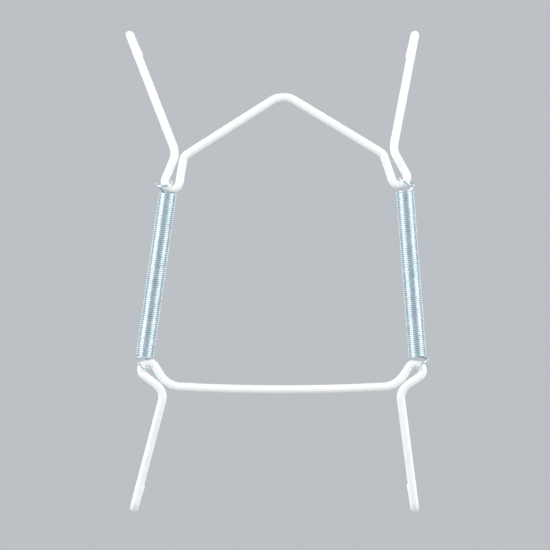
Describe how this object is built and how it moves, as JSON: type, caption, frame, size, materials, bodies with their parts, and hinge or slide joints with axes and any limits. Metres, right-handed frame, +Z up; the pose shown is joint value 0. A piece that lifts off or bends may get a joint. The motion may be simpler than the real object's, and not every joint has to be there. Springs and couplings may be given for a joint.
{
  "type": "wire plate hanger",
  "caption": "Sprung wire hanger that grips a display plate by its rim with coated hooks and hangs it on a wall nail by a gabled top.",
  "frame": {"origin": "the nail's seat: the middle of the peak's underside, on the wires' own plane", "axes": "+Z up the wall, +X to the right seen from the wall's side, +Y out of the wall towards the plate"},
  "size_m": [0.0676, 0.0164, 0.1074],
  "materials": {
    "white_coated_wire": "glossy dipped coating",
    "plated_spring_steel": "bright zinc plate"
  },
  "bodies": {
    "upper": {"upper_wire": "white_coated_wire", "left_spring": "plated_spring_steel", "right_spring": "plated_spring_steel"},
    "lower": {"lower_wire": "white_coated_wire"}
  },
  "joints": [
    {"name": "spring_stretch", "type": "slide", "parent": "upper", "child": "lower", "axis": [0, 0, -1], "range_m": [0, 0.075], "stiffness_N_per_m": 200, "springref_m": -0.011, "deforming": ["left_spring", "right_spring"]}
  ]
}
